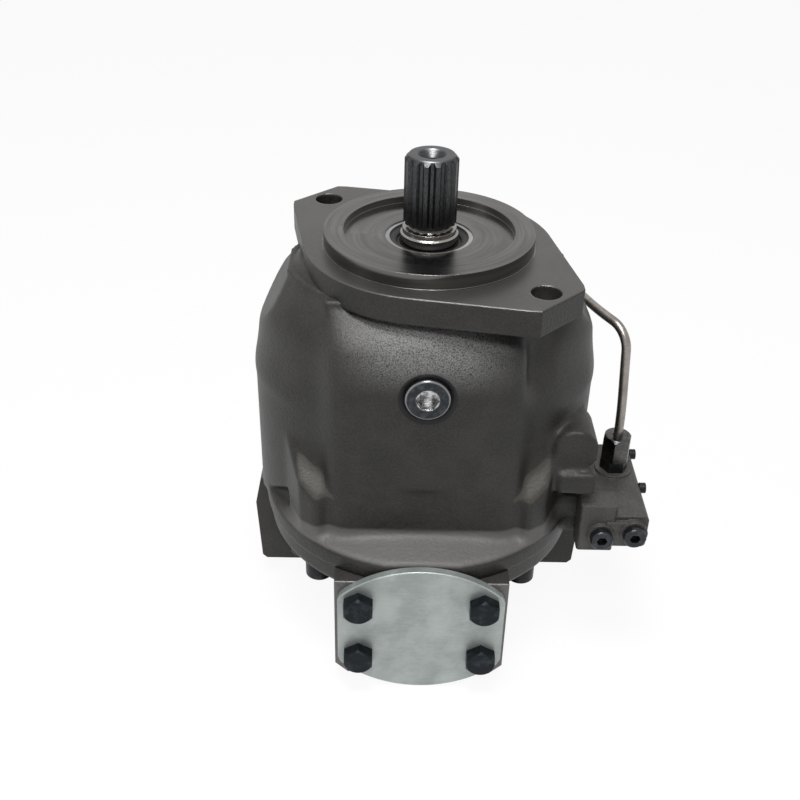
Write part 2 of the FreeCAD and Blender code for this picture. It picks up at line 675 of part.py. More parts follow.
def make_port_cover(spec):
    back = -BLOCK_FRONT_Y
    front = back - PORT_COVER_THICKNESS
    corner_x, corner_z = spec["corner"]
    half_x, flat = spec["half_x"], spec["flat"]

    def at(x, z):
        return V(x, front, PORT_Z + z)

    def line(start, end):
        return Part.LineSegment(start, end).toShape()

    def bow(start, middle, end):
        return Part.Arc(start, middle, end).toShape()

    edges = [bow(at(-corner_x, corner_z), at(0, spec["half_z"]), at(corner_x, corner_z)),
             line(at(corner_x, corner_z), at(half_x, flat)),
             line(at(half_x, flat), at(half_x, -flat)),
             line(at(half_x, -flat), at(corner_x, -corner_z)),
             bow(at(corner_x, -corner_z), at(0, -spec["half_z"]), at(-corner_x, -corner_z)),
             line(at(-corner_x, -corner_z), at(-half_x, -flat)),
             line(at(-half_x, -flat), at(-half_x, flat)),
             line(at(-half_x, flat), at(-corner_x, corner_z))]
    plate = Part.Face(Part.Wire(edges)).extrude(V(0, PORT_COVER_THICKNESS, 0))
    rim_edges = [edge for edge in plate.Edges if abs(edge.BoundBox.YMax - front) < 0.01]
    plate = plate.makeChamfer(0.5, rim_edges)
    for x, z in port_bolt_places(spec):
        plate = plate.cut(rod_y(spec["thread"] / 2 + 0.5, front - 1, back + 1, x, z))
    return port_solid(spec, plate)


def make_port_bolts(spec):
    face = -BLOCK_FRONT_Y - PORT_COVER_THICKNESS
    solids = []
    for x, z in port_bolt_places(spec):
        head = hexagon(spec["flats"], V(x, face, z), spec["head"], V(0, -1, 0), 30)
        dome = Part.makeCone(spec["flats"] / 2 + 3.2, spec["flats"] / 2 - 0.4, 3.6,
                             V(x, face - spec["head"] + 3.55, z), V(0, -1, 0))
        lower = rod_y(spec["flats"], face - spec["head"] + 3.55, face + 1, x, z)
        head = head.common(dome.fuse(lower))
        shank = rod_y(spec["thread"] / 2, face - 0.5, -BLOCK_FRONT_Y + PORT_BOLT_DEPTH - 2, x, z)
        solids.append(port_solid(spec, head.fuse(shank)))
    return group(solids)


def make_port_seals():
    solids = []
    for spec in (SUCTION, PRESSURE):
        depth = -BLOCK_FRONT_Y + PORT_SEAL_DEPTH
        outer = rod_y(spec["seal"], -BLOCK_FRONT_Y, depth, 0, PORT_Z)
        inner = rod_y(spec["seal"] - PORT_SEAL_WIDTH, -BLOCK_FRONT_Y - 2, depth + 1, 0, PORT_Z)
        solids.append(port_solid(spec, outer.cut(inner)))
    return group(solids)


# Cover fasteners

def make_cover_screws():
    head_base = COVER_BASE_Z
    head_height = COVER_SCREW_DIAMETER
    x, y = COVER_SCREW
    head = disc(9.0, head_base - head_height, head_base, x, y)
    top_edges = [edge for edge in head.Edges if abs(edge.BoundBox.ZMax - (head_base - head_height)) < 0.01]
    head = head.makeChamfer(0.8, top_edges)
    socket = hexagon(10.0, V(x, y, head_base - head_height - 0.1), 6.1)
    shank = disc(COVER_SCREW_DIAMETER / 2, head_base - 0.5, head_base + COVER_SCREW_LENGTH, x, y)
    return group(four_ways(head.cut(socket).fuse(shank)))


def make_pins():
    radius = PIN_RADIUS - 0.02
    reach = PIN_DEPTH - 0.5
    solids = [disc(radius, PARTING_Z - reach, PARTING_Z + reach, x, y) for x, y in pin_places()]
    solids.append(disc(radius, COVER_FACE_Z - 5.5, COVER_FACE_Z + VALVE_PLATE_THICKNESS - 1, PLATE_PIN_X, 0))
    return group(solids)


def make_cover_seal():
    return seal_ring_prism(0, PARTING_Z, PARTING_Z + COVER_SEAL_DEPTH)


# Shaft and seal

def spline():
    """External involute-like teeth as straight-sided ridges round the root."""
    outer = SPLINE_DIAMETER / 2
    root = SPLINE_ROOT / 2
    pitch = 360.0 / SPLINE_TEETH
    points = []
    for tooth in range(SPLINE_TEETH):
        for share, radius in ((-0.36, root), (-0.17, outer), (0.17, outer), (0.36, root)):
            angle = math.radians(pitch * (tooth + share))
            points.append((radius * math.cos(angle), radius * math.sin(angle)))
    return plate_z(points, SPLINE_START_Z, SHAFT_END_Z)


def make_shaft():
    rear_end = REAR_BEARING_TOP_Z - REAR_BEARING[2] - 1
    bearing_low = FRONT_BEARING_TOP_Z - FRONT_BEARING[2]
    shoulder_low = bearing_low - SHOULDER_WIDTH
    rear_step = REAR_BEARING_TOP_Z + 0.5
    profile = [(0, rear_end), (REAR_JOURNAL_RADIUS - 1, rear_end), (REAR_JOURNAL_RADIUS, rear_end + 1),
               (REAR_JOURNAL_RADIUS, rear_step), (SHAFT_RADIUS, rear_step), (SHAFT_RADIUS, shoulder_low),
               (SHOULDER_RADIUS, shoulder_low), (SHOULDER_RADIUS, bearing_low),
               (SEAL_JOURNAL_RADIUS, bearing_low), (SEAL_JOURNAL_RADIUS, COLLAR_Z[0]),
               (COLLAR_RADIUS, COLLAR_Z[0] + 0.7), (COLLAR_RADIUS, COLLAR_Z[1]),
               (NECK_RADIUS, COLLAR_Z[1] + 0.8), (NECK_RADIUS, SPLINE_START_Z + 0.5),
               (0, SPLINE_START_Z + 0.5)]
    body = turned(profile)
    end_cone = Part.makeCone(SPLINE_DIAMETER / 2 + 6.4, SPLINE_ROOT / 2 - 1.0, 10.0,
                             V(0, 0, SHAFT_END_Z - 9.6))
    teeth = spline().common(end_cone.fuse(disc(40, 0, SHAFT_END_Z - 9.6)))
    solid = body.fuse(teeth)
    solid = solid.cut(Part.makeCone(4.2, 8.6, 4.0, V(0, 0, SHAFT_END_Z - 4.0)))
    solid = solid.cut(disc(4.2, SHAFT_END_Z - 24.0, SHAFT_END_Z))
    return solid.removeSplitter()


def make_shaft_seal():
    """Lip seal: a metal-backed ring with a lip that leans on the shaft."""
    low, high = -5.4, 2.5
    outer = SEAL_BORE / 2
    lip = SEAL_JOURNAL_RADIUS + RUNNING
    profile = [(outer, low), (outer, high), (lip + 3.4, high), (lip + 2.2, high - 0.8), (lip + 2.2, 0.2),
               (lip + 0.6, 0.9), (lip, 0.2), (lip, -1.4), (lip + 1.4, -4.2), (lip + 2.6, low + 3.2),
               (lip + 5.4, low + 3.2), (outer - 1.6, low + 3.2), (outer - 1.6, low)]
    return turned(profile)


def make_seal_ring():
    outer = SEAL_BORE / 2 + 1.1
    inner = SEAL_BORE / 2 - 2.6
    band = ring(outer, inner, *SEAL_RING_Z)
    gap = box(-5.0, 5.0, inner - 4, outer + 3, SEAL_RING_Z[0] - 1, SEAL_RING_Z[1] + 1)
    band = band.cut(gap)
    ears = []
    for side in (-1, 1):
        ear = disc(2.6, SEAL_RING_Z[0], SEAL_RING_Z[1], side * 7.4, inner - 0.6)
        ear = ear.cut(disc(1.0, SEAL_RING_Z[0] - 1, SEAL_RING_Z[1] + 1, side * 7.4, inner - 0.6))
        ears.append(ear)
    return fuse_all([band] + ears)


# Tapered roller bearings

def make_bearing(spec, top, wide_end_down):
    """Outer race, inner race, and rollers in their cage, seated between two planes."""
    bore, outer, width, count = spec
    wide = top - width if wide_end_down else top
    narrow = top if wide_end_down else top - width
    section = outer - bore
    outer_wide = bore + section * 0.76
    outer_narrow = bore + section * 0.58
    inner_wide = bore + section * 0.32
    inner_narrow = bore + section * 0.22
    outer_race = turned([(outer, wide), (outer, narrow), (outer_narrow, narrow), (outer_wide, wide)])
    inner_race = turned([(bore, wide), (inner_wide, wide), (inner_narrow, narrow), (bore, narrow)])
    sense = 1 if narrow > wide else -1
    margin = 1.4
    axis_wide = (outer_wide + inner_wide) / 2
    axis_narrow = (outer_narrow + inner_narrow) / 2
    lean = math.atan2(axis_wide - axis_narrow, width)
    radius_wide = (outer_wide - inner_wide) / 2 * math.cos(lean) - ROLLER_PLAY
    radius_narrow = (outer_narrow - inner_narrow) / 2 * math.cos(lean) - ROLLER_PLAY
    start = V(axis_wide, 0, wide + sense * margin)
    aim = V(axis_narrow - axis_wide, 0, sense * width).normalize()
    length = (width - 2 * margin) / math.cos(lean)
    grow = (radius_narrow - radius_wide) * margin / width
    roller = Part.makeCone(radius_wide + grow, radius_narrow - grow, length, start, aim)
    pocket = Part.makeCone(radius_wide + 0.35, radius_narrow + 0.35, length + 0.6, start - aim * 0.3, aim)
    skin = 0.55
    near = wide + sense * 0.5
    far = narrow - sense * 0.5
    cage = turned([(axis_wide - skin, near), (axis_wide + skin, near), (axis_narrow + skin, far),
                   (axis_narrow - skin, far)])
    rollers = []
    for index in range(count):
        turn = 360.0 * index / count
        rollers.append(turned_about_z(roller, turn))
        cage = cage.cut(turned_about_z(pocket, turn))
    return outer_race, inner_race, group(rollers + [cage])


# Rotating group

def make_block():
    """Cylinder block with its piston bores, spring room and ports."""
    base = PIVOT_Z + BLOCK_BASE
    top = PIVOT_Z + BLOCK_TOP
    body = disc(BLOCK_RADIUS, base, top)
    outer_edges = [edge for edge in body.Edges if edge.BoundBox.ZLength < 0.01]
    body = body.makeChamfer(1.5, outer_edges)
    bore_radius = PISTON_DIAMETER / 2 + bore_gap()
    tools = [disc(SHAFT_RADIUS + RUNNING, base - 1, top + 1),
             disc(SPRING_ROOM_RADIUS, PIVOT_Z + SPRING_ROOM_FLOOR, top + 1)]
    for index in range(PISTONS):
        angle = 2 * math.pi * index / PISTONS
        x = BORE_CIRCLE * math.cos(angle)
        y = BORE_CIRCLE * math.sin(angle)
        tools.append(disc(bore_radius, PIVOT_Z + BORE_FLOOR, top + 1, x, y))
        tools.append(disc(KIDNEY_WIDTH / 2 - 0.5, base - 1, PIVOT_Z + BORE_FLOOR + 1, x, y))
    return cut_all(body, tools)


def bore_gap():
    """Room that the straight piston needs, because its ball follows a tilted circle."""
    return BALL_CIRCLE * (1 - math.cos(TILT)) / 2 + RUNNING + 0.02


def make_valve_plate():
    low = COVER_FACE_Z
    high = low + VALVE_PLATE_THICKNESS
    plate = ring(VALVE_PLATE_RADIUS, 21.0, low, high)
    plate = cut_all(plate, [kidney(-1, low - 1, high + 1), kidney(1, low - 1, high + 1)])
    return plate.cut(disc(PIN_RADIUS, low - 1, high - 0.9, PLATE_PIN_X, 0))


def make_piston(index):
    centre = ball_centre(index)
    body = disc(PISTON_DIAMETER / 2, PISTON_TOP - PISTON_LENGTH, PISTON_TOP)
    edges = [edge for edge in body.Edges if edge.BoundBox.ZLength < 0.01]
    body = body.makeChamfer(0.8, edges)
    neck = disc(BALL_NECK_RADIUS, PISTON_TOP - 1, 0)
    ball = Part.makeSphere(BALL_RADIUS)
    hollow = disc(6.2, PISTON_TOP - PISTON_LENGTH - 1, PISTON_TOP - 12)
    piston = fuse_all([body, neck, ball]).cut(hollow)
    piston.translate(centre)
    return piston


def slipper_shape():
    """Slipper pad with its ball socket, about its ball centre."""
    socket = BALL_RADIUS + RUNNING
    face = RUNNING_FACE - RUNNING
    pad = disc(SLIPPER_RADIUS, face - SLIPPER_FLANGE, face)
    skirt = disc(SLIPPER_SKIRT_RADIUS, SLIPPER_SKIRT_END, face - 1)
    body = pad.fuse(skirt).cut(Part.makeSphere(socket))
    recess = disc(7.0, face - 0.6, face + 1)
    return cut_all(body, [disc(0.8, 0, face + 1), recess])


def make_slipper(index):
    angle = 2 * math.pi * index / PISTONS
    shape = slipper_shape()
    shape.translate(V(BALL_CIRCLE * math.cos(angle), BALL_CIRCLE * math.sin(angle), 0))
    return tilted(shape)


def make_retainer():
    plate = disc(RETAINER_RADIUS, RETAINER_BOTTOM, RETAINER_TOP)
    tools = [Part.makeSphere(GUIDE_BALL_RADIUS + 2 * RUNNING)]
    for index in range(PISTONS):
        angle = 2 * math.pi * index / PISTONS
        tools.append(disc(SLIPPER_SKIRT_RADIUS + 0.6, RETAINER_BOTTOM - 1, RETAINER_TOP + 1,
                          BALL_CIRCLE * math.cos(angle), BALL_CIRCLE * math.sin(angle)))
    return tilted(cut_all(plate, tools))


def make_guide_ball():
    ball = Part.makeSphere(GUIDE_BALL_RADIUS, PIVOT)
    ball = ball.common(disc(40, PIVOT_Z + GUIDE_BALL_BOTTOM, PIVOT_Z + GUIDE_BALL_TOP))
    return ball.cut(disc(SHAFT_RADIUS + RUNNING, PIVOT_Z - 40, PIVOT_Z + 40))


def make_block_spring():
    low = PIVOT_Z + SPRING_ROOM_FLOOR
    high = PIVOT_Z + GUIDE_BALL_BOTTOM - SPRING_WASHER
    return coil(21.4, 1.75, V(0, 0, low), UP, high - low, 5)


def make_spring_washer():
    high = PIVOT_Z + GUIDE_BALL_BOTTOM
    return ring(SPRING_ROOM_RADIUS - 0.4, SHAFT_RADIUS + 0.3, high - SPRING_WASHER, high)


# Swash plate

def cradle_piece(radius, half_x, low):
    solids = []
    for side in (-1, 1):
        near, far = sorted((side * CRADLE_Y[0], side * CRADLE_Y[1]))
        solid = rod_y(radius, near, far, 0, 0).common(box(-half_x, half_x, near, far, low, radius + 1))
        solids.append(solid)
    return solids


def make_swash_plate():
    """Disc with two round runners, a control arm on each side and a conical shaft hole."""
    plate = disc(SWASH_RADIUS, RUNNING_FACE, SWASH_BACK)
    solids = [plate] + cradle_piece(CRADLE_RADIUS - RUNNING, CRADLE_HALF_X, RUNNING_FACE)
    for side in (-1, 1):
        x0, x1 = sorted((side * 50, side * (ARM_REACH + 8.5)))
        solids.append(box(x0, x1, -11, 11, RUNNING_FACE, RUNNING_FACE + 9))
        solids.append(disc(ARM_CONTACT_RADIUS, 0, RUNNING_FACE + 1, side * ARM_REACH))
        solids.append(Part.makeSphere(ARM_CONTACT_RADIUS, V(side * ARM_REACH, 0, 0)))
    body = fuse_all(solids)
    hole = Part.makeCone(SWASH_HOLE[0], SWASH_HOLE[1], SWASH_BACK - RUNNING_FACE, V(0, 0, RUNNING_FACE))
    body = cut_all(body, [hole, disc(SWASH_HOLE[1], SWASH_BACK - 0.01, 80)])
    return tilted(body)


def make_cradle_shells():
    solids = []
    outer_radius = CRADLE_RADIUS + CRADLE_SHELL
    low = math.sqrt(CRADLE_RADIUS ** 2 - SHELL_HALF_X ** 2)
    for outer in cradle_piece(outer_radius, SHELL_HALF_X, low):
        inner = rod_y(CRADLE_RADIUS, -80, 80, 0, 0)
        solid = outer.cut(inner)
        solid.translate(PIVOT)
        solids.append(solid)
    return group(solids)


# Stroking and bias pistons

def make_control_piston():
    top = PIVOT_Z - ARM_DROP - ARM_CONTACT_RADIUS - FLAT_GAP
    body = disc(CONTROL_RADIUS, top - CONTROL_LENGTH, top, ARM_REACH)
    grooves = []
    for index in range(3):
        height = top - CONTROL_LENGTH + 12 + 8 * index
        grooves.append(ring(CONTROL_RADIUS + 1, CONTROL_RADIUS - 0.6, height, height + 1.2, ARM_REACH))
    return cut_all(body, grooves)


def bias_top():
    return PIVOT_Z + ARM_DROP - ARM_CONTACT_RADIUS - FLAT_GAP


def make_bias_piston():
    top = bias_top()
    body = disc(CONTROL_RADIUS, top - BIAS_LENGTH, top, -ARM_REACH)
    return body.cut(disc(CONTROL_RADIUS - BIAS_WALL, top - BIAS_LENGTH - 1, top - BIAS_CROWN, -ARM_REACH))


def make_bias_spring():
    high = bias_top() - BIAS_CROWN
    length = high - BIAS_BORE_END_Z
    return coil(7.4, 1.7, V(-ARM_REACH, 0, BIAS_BORE_END_Z), UP, length, 18)


# Control valve

def fitting_seat():
    """Height of the boss face that the straight fitting stands on."""
    return VALVE_TOP_Z + 1.2


def make_valve_body():
    main = box(VALVE_X[0], VALVE_X[1], VALVE_Y[0], VALVE_Y[1], VALVE_BOTTOM_Z, VALVE_TOP_Z)
    long_edges = []
    for edge in main.Edges:
        centre = edge.CenterOfMass
        at_right = abs(centre.x - VALVE_X[1]) < 0.1
        if at_right and edge.BoundBox.YLength > 20:
            long_edges.append(edge)
    main = main.makeFillet(3.0, long_edges)
    foot = box(VALVE_FOOT_X, VALVE_X[0] + 14, VALVE_Y[0] - 2, VALVE_FOOT_BACK_Y,
               VALVE_FOOT_BOTTOM_Z, VALVE_FOOT_TOP_Z)
    foot = foot.makeFillet(2.0, [edge for edge in foot.Edges if edge.BoundBox.ZLength > 20])
    ledge = box(VALVE_X[0] + 8, PRESSURE_SPOOL[0] - 3, VALVE_Y[0] - 3.5, VALVE_Y[0] + 4,
                VALVE_BOTTOM_Z + 3, VALVE_TOP_Z - 3)
    boss = disc(12.4, VALVE_TOP_Z - 1, fitting_seat(), FITTING_X, FITTING_Y)
    collars = []
    for x, z in (PRESSURE_SPOOL, FLOW_SPOOL):
        collars.append(rod_y(ADJUSTER_RADIUS + 2.2, VALVE_Y[0] - 4.5, VALVE_Y[0] + 1, x, z))
    body = fuse_all([main, foot, ledge, boss] + collars)
    tools = []
    for x, z in (PRESSURE_SPOOL, FLOW_SPOOL):
        tools.append(rod_y(SPOOL_RADIUS + RUNNING, -60, 0, x, z))
        tools.append(rod_y(ADJUSTER_RADIUS + RUNNING, VALVE_Y[0] - 6, SPOOL_START_Y, x, z))
    tools.append(disc(5.0, fitting_seat() - NEAR_THREAD - 0.5, fitting_seat() + 1, FITTING_X, FITTING_Y))
    tools.append(disc(TUBE_BORE, PRESSURE_SPOOL[1], fitting_seat(), FITTING_X, FITTING_Y))
    for y, z in valve_screw_places():
        tools.append(Part.makeCylinder(VALVE_SCREW_RADIUS + 0.05, 60, V(VALVE_X[0] - 1, y, z), V(1, 0, 0)))
    return cut_all(body, tools)


def make_adjuster(place):
    x, z = place
    body = rod_y(ADJUSTER_RADIUS, VALVE_Y[0] - 5.5, ADJUSTER_BACK_Y, x, z)
    head = rod_y(ADJUSTER_RADIUS + 0.6, ADJUSTER_FRONT_Y, VALVE_Y[0] - 4.8, x, z)
    face_edges = [edge for edge in head.Edges if abs(edge.BoundBox.YMax - ADJUSTER_FRONT_Y) < 0.01]
    head = head.makeChamfer(0.7, face_edges)
    socket = hexagon(6.0, V(x, ADJUSTER_FRONT_Y - 0.1, z), 5.0, V(0, 1, 0))
    room = rod_y(SPOOL_RADIUS - 0.2, ADJUSTER_BACK_Y - SPOOL_TRAVEL - 0.6, ADJUSTER_BACK_Y + 1, x, z)
    return cut_all(body.fuse(head), [socket, room])


def make_spool(place):
    x, z = place
    body = rod_y(SPOOL_RADIUS, SPOOL_START_Y, SPOOL_START_Y + SPOOL_LENGTH, x, z)
    for share in (0.3, 0.62):
        low = SPOOL_START_Y + SPOOL_LENGTH * share
        outer = rod_y(SPOOL_RADIUS + 1, low, low + 4.5, x, z)
        groove = outer.cut(rod_y(SPOOL_RADIUS - 1.6, low - 1, low + 6, x, z))
        body = body.cut(groove)
    return body


def make_valve_spring(place):
    x, z = place
    length = SPOOL_START_Y - ADJUSTER_BACK_Y
    return coil(3.3, 0.75, V(x, SPOOL_START_Y, z), V(0, -1, 0), length, 6)


def make_valve_screws():
    solids = []
    out = V(1, 0, 0)
    for y, z in valve_screw_places():
        start = VALVE_X[0] - VALVE_SCREW_DEPTH
        shank = Part.makeCylinder(VALVE_SCREW_RADIUS, VALVE_X[1] - start + 0.5, V(start, y, z), out)
        head = Part.makeCylinder(3.5, 4.0, V(VALVE_X[1], y, z), out)
        socket = hexagon(3.0, V(VALVE_X[1] + 2.0, y, z), 4.0, out)
        solids.append(shank.fuse(head).cut(socket))
    return group(solids)


# Control tube

def fitting_at(start, aim, thread_length):
    """Straight fitting that screws into a boss: a thread, a hexagon and a nose."""
    thread = Part.makeCylinder(4.95, thread_length, start - aim * thread_length, aim)
    body = hexagon(NUT_FLATS - 1, start, 7.5, aim)
    nose = Part.makeCylinder(5.2, 9.0, start + aim * 7.0, aim)
    bore = Part.makeCylinder(TUBE_RADIUS + 0.05, 12.0, start + aim * 9.0, aim)
    way = Part.makeCylinder(TUBE_BORE, 30.0, start - aim * (thread_length + 1), aim)
    return cut_all(fuse_all([thread, body, nose]), [bore, way])


def nut_at(start, aim):
    """Union nut over the nose of the fitting."""
    base = start + aim * 7.8
    body = hexagon(NUT_FLATS, base, NUT_HEIGHT, aim, 12)
    cone = Part.makeCone(NUT_FLATS / 2 + 4.0, NUT_FLATS / 2 - 0.3, 5.4, base + aim * (NUT_HEIGHT - 5.3), aim)
    shaped = body.common(cone.fuse(Part.makeCylinder(NUT_FLATS, NUT_HEIGHT - 5.3, base, aim)))
    room = Part.makeCylinder(5.3, 8.9, base - aim * 0.1, aim)
    hole = Part.makeCylinder(TUBE_RADIUS + 0.1, NUT_HEIGHT + 2, base, aim)
    return cut_all(shaped, [room, hole])


def near_fitting():
    return V(FITTING_X, FITTING_Y, fitting_seat()), UP


def far_fitting():
    return V(*TUBE_BOSS), V(1, 0, 0)


def rounded_path(points, share=0.45):
    """Straight runs joined by tangent arcs."""
    edges = []
    cursor = points[0]
    for index in range(1, len(points) - 1):
        before = points[index] - points[index - 1]
        after = points[index + 1] - points[index]
        turn = math.acos(max(-1, min(1, before.dot(after) / before.Length / after.Length)))
        cut_back = share * min(before.Length, after.Length)
        first = points[index] - before * (cut_back / before.Length)
        last = points[index] + after * (cut_back / after.Length)
        middle = (first + last) * 0.5
        offset = points[index] - middle
        crown = middle + offset * (math.tan(turn / 4) / math.tan(turn / 2))
        if (first - cursor).Length > 0.01:
            edges.append(Part.LineSegment(cursor, first).toShape())
        edges.append(Part.Arc(first, crown, last).toShape())
        cursor = last
        print("tube bend radius", round(cut_back / math.tan(turn / 2), 1))
    edges.append(Part.LineSegment(cursor, points[-1]).toShape())
    return Part.Wire(edges)


def tube_route():
    near, near_aim = near_fitting()
    far, far_aim = far_fitting()
    return [near + near_aim * 9.2, V(FITTING_X, FITTING_Y, -112), V(FITTING_X - 3.5, FITTING_Y + 2.5, -52),
            V(109.5, 12.5, -50), V(94.0, 60.0, -52), V(84.0, far.y, far.z), far + far_aim * 9.2]


def make_tube():
    route = tube_route()
    path = rounded_path(route)
    aim = (route[1] - route[0]).normalize()
    outer = path.makePipeShell([Part.Wire(Part.Circle(route[0], aim, TUBE_RADIUS).toShape())], True, False)
    inner = path.makePipeShell([Part.Wire(Part.Circle(route[0], aim, TUBE_BORE).toShape())], True, False)
    tube = outer.cut(inner)
    expected = math.pi * (TUBE_RADIUS ** 2 - TUBE_BORE ** 2) * path.Length
    print("tube volume over section times length", round(tube.Volume / expected, 4))
    return tube


# Drain plugs

def make_drain_plugs():
    seat = -FRONT_Y - DRAIN_PAD_HEIGHT + 3
    shank = rod_y(DRAIN_THREAD / 2 - 0.05, seat - 1, seat + 12, 0, DRAIN_Z)
    head = rod_y(DRAIN_HEAD / 2, seat - 4.0, seat, 0, DRAIN_Z)
    face_edges = [edge for edge in head.Edges if abs(edge.BoundBox.YMax - (seat - 4.0)) < 0.01]
    head = head.makeChamfer(0.6, face_edges)
    socket = hexagon(DRAIN_HEX, V(0, seat - 4.1, DRAIN_Z), 7.0, V(0, 1, 0))
    plug = head.fuse(shank).cut(socket)
    return group([plug, mirror_y(plug)])


PARTS = {
    "pump_housing": make_housing,
    "rear_cover": make_cover,
    "cover_screws": make_cover_screws,
    "locating_pins": make_pins,
    "cover_seal": make_cover_seal,
    "drive_shaft": make_shaft,
    "shaft_seal": make_shaft_seal,
    "seal_retaining_ring": make_seal_ring,
    "cylinder_block": make_block,
    "valve_plate": make_valve_plate,
    "retaining_plate": make_retainer,
    "guide_ball": make_guide_ball,
    "block_spring": make_block_spring,
    "spring_washer": make_spring_washer,
    "swash_plate": make_swash_plate,
    "cradle_shells": make_cradle_shells,
    "stroking_piston": make_control_piston,
    "bias_piston": make_bias_piston,
    "bias_spring": make_bias_spring,
    "valve_body": make_valve_body,
    "valve_screws": make_valve_screws,
    "drain_plugs": make_drain_plugs,
    "control_tube": make_tube,
    "port_seals": make_port_seals,
}

for part_name, maker in PARTS.items():
    save(part_name, maker())

for bearing_name, spec, top_z, wide_down in (("front", FRONT_BEARING, FRONT_BEARING_TOP_Z, True),
                                             ("rear", REAR_BEARING, REAR_BEARING_TOP_Z, False)):
    outer_race, inner_race, rollers = make_bearing(spec, top_z, wide_down)
    save(bearing_name + "_outer_race", outer_race)
    save(bearing_name + "_inner_race", inner_race)
    save(bearing_name + "_rollers", rollers)

for number in range(PISTONS):
    save("piston_%d" % (number + 1), make_piston(number))
    save("slipper_%d" % (number + 1), make_slipper(number))

for valve_name, place in (("pressure", PRESSURE_SPOOL), ("flow", FLOW_SPOOL)):
    save(valve_name + "_spool", make_spool(place))
    save(valve_name + "_spring", make_valve_spring(place))
    save(valve_name + "_adjuster", make_adjuster(place))

for port_name, spec in (("suction", SUCTION), ("pressure", PRESSURE)):
    save(port_name + "_cover", make_port_cover(spec))
    save(port_name + "_cover_bolts", make_port_bolts(spec))

fittings = [fitting_at(*near_fitting(), NEAR_THREAD), fitting_at(*far_fitting(), FAR_THREAD)]
save("tube_fittings", group(fittings))
save("tube_nuts", group([nut_at(*near_fitting()), nut_at(*far_fitting())]))
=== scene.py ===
import math
import bmesh
import bpy
import numpy as np
from mathutils import Matrix, Vector


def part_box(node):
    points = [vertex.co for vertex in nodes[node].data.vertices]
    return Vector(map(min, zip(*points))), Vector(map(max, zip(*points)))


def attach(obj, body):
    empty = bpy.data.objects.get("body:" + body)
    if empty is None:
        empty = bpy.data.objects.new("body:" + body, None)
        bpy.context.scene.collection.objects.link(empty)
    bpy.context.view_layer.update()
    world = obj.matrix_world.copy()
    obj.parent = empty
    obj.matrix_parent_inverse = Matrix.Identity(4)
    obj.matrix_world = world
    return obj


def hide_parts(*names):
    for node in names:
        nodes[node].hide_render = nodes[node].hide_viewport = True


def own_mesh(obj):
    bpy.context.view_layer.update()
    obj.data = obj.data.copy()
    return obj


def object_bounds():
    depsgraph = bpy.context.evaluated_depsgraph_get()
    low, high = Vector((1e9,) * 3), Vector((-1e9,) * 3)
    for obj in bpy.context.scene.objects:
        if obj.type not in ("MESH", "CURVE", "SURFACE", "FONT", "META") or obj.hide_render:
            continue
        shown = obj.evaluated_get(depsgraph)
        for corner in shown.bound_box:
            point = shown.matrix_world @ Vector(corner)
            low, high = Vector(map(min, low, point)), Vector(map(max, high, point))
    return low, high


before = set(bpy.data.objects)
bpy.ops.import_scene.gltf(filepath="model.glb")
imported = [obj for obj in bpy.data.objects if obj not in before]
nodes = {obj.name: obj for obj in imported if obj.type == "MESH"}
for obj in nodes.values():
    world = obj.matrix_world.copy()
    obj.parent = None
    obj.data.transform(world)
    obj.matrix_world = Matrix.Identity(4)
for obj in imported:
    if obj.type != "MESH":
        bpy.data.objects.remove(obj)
cad_low, cad_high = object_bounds()
plugs_low, plugs_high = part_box("drain_plugs")
DRAIN_HEIGHT = 1000.0 * (plugs_low[2] + plugs_high[2]) / 2.0  # height of the plugs' axis, in millimetres
scene = bpy.context.scene


# Camera, fitted to the sizes of the flange, the spline and the port pattern

CAMERA_PLACE = (-0.020514, -0.595944, 0.271443)
CAMERA_YAW = 0.009
CAMERA_PITCH = 0.574
CAMERA_ROLL = 0.024
CAMERA_LENS = 48.324


def make_camera():
    """The view turns by the yaw about +Z, tips down by the pitch and rolls about its own axis."""
    sy, cy = math.sin(CAMERA_YAW), math.cos(CAMERA_YAW)
    sp, cp = math.sin(CAMERA_PITCH), math.cos(CAMERA_PITCH)
    ahead = Vector((sy * cp, cy * cp, -sp))
    level = Vector((cy, -sy, 0.0))
    above = level.cross(ahead)
    sr, cr = math.sin(CAMERA_ROLL), math.cos(CAMERA_ROLL)
    right = level * cr + above * sr
    up = above * cr - level * sr
    data = bpy.data.cameras.new("camera")
    data.lens = CAMERA_LENS
    data.sensor_width = 36.0
    data.clip_start = 0.01
    obj = bpy.data.objects.new("camera", data)
    turn = Matrix((right, up, -ahead)).transposed()
    obj.matrix_world = Matrix.Translation(CAMERA_PLACE) @ turn.to_4x4()
    scene.collection.objects.link(obj)
    scene.camera = obj


# Shader maths

class Shade:
    """A socket of a shader graph. Python operators on it add Math nodes."""

    def __init__(self, graph, socket):
        self.graph = graph
        self.socket = socket

    def _math(self, operation, *values):
        return self.graph.node("ShaderNodeMath", {"operation": operation}, *values)

    def __add__(self, other): return self._math("ADD", self, other)
    def __radd__(self, other): return self._math("ADD", other, self)
    def __sub__(self, other): return self._math("SUBTRACT", self, other)
    def __rsub__(self, other): return self._math("SUBTRACT", other, self)
    def __mul__(self, other): return self._math("MULTIPLY", self, other)
    def __rmul__(self, other): return self._math("MULTIPLY", other, self)
    def __pow__(self, other): return self._math("POWER", self, other)
    def absolute(self): return self._math("ABSOLUTE", self)
    def most(self, other): return self._math("MAXIMUM", self, other)

    def ramp(self, low, high):
        """0 below low, 1 above high, smooth between. High may be under low."""
        settings = {"interpolation_type": "SMOOTHSTEP"}
        return self.graph.node("ShaderNodeMapRange", settings, self, low, high, 0.0, 1.0)


